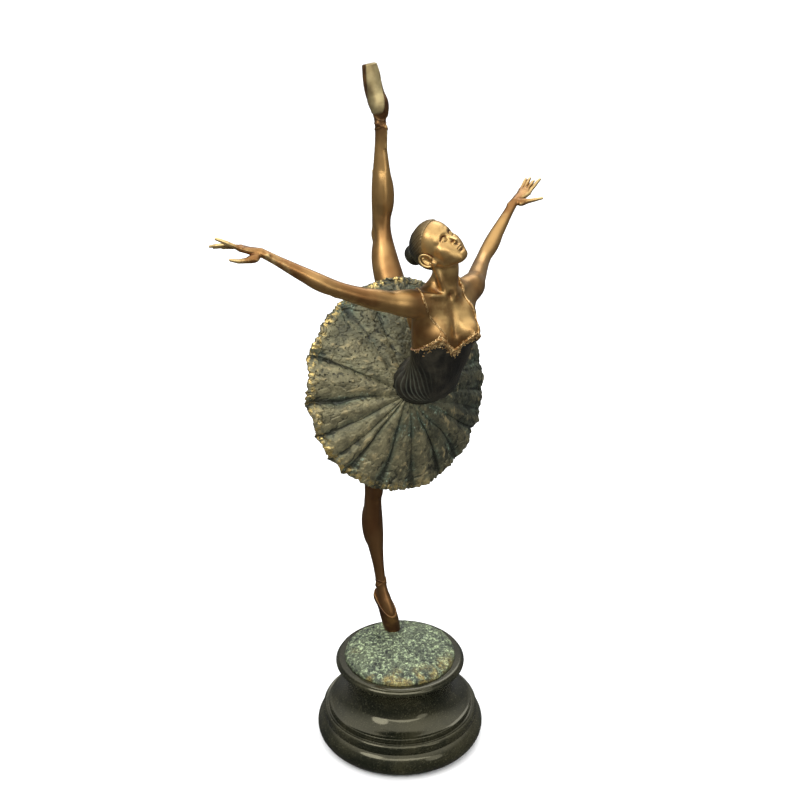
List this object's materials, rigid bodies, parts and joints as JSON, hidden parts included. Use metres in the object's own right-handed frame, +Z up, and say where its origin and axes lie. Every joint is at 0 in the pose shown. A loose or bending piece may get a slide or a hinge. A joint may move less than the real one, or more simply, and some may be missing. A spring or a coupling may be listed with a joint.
{
  "type": "bronze statuette",
  "caption": "Cast bronze ballet dancer on one pointe in a wide pleated tutu, raised leg and open arms, on a turned dark marble base.",
  "frame": {"origin": "centre of the flat underside of the felt pad", "axes": "+Z up; the dancer faces -Y and +X, so a viewer stands at -Y"},
  "size_m": [0.2474, 0.2167, 0.5478],
  "materials": {
    "skin_bronze": "satin brown-gold patina",
    "shoe_bronze": "satin gold patina",
    "skirt_bronze": "rough dark green patina, rubbed bright at the rim",
    "bodice_bronze": "black-brown patina",
    "hair_bronze": "black-green patina",
    "strap_bronze": "rubbed gold",
    "ground_bronze": "matt verdigris",
    "marble": "polished",
    "felt": "matt",
    "steel": "plain"
  },
  "bodies": {
    "root": {"standing_leg": "skin_bronze", "raised_leg": "skin_bronze", "chest": "skin_bronze", "head": "skin_bronze", "right_arm": "skin_bronze", "left_arm": "skin_bronze", "right_hand": "skin_bronze", "left_hand": "skin_bronze", "standing_shoe": "shoe_bronze", "raised_shoe": "shoe_bronze", "tutu_skirt": "skirt_bronze", "hips": "skirt_bronze", "bodice": "bodice_bronze", "hair_bun": "hair_bronze", "right_strap_inner": "strap_bronze", "right_strap_outer": "strap_bronze", "left_strap_inner": "strap_bronze", "left_strap_outer": "strap_bronze", "ground_cap": "ground_bronze", "marble_plinth": "marble", "marble_neck": "marble", "marble_disc": "marble", "felt_pad": "felt", "threaded_rod": "steel", "nut": "steel", "washer": "steel", "foot_spike": "steel", "standing_ankle_pin": "steel", "raised_ankle_pin": "steel", "standing_hip_pin": "steel", "raised_hip_pin": "steel", "waist_pin": "steel", "neckline_pin": "steel", "neck_pin": "steel", "bun_pin": "steel", "right_shoulder_pin": "steel", "left_shoulder_pin": "steel", "right_wrist_pin": "steel", "left_wrist_pin": "steel"}
  },
  "joints": []
}
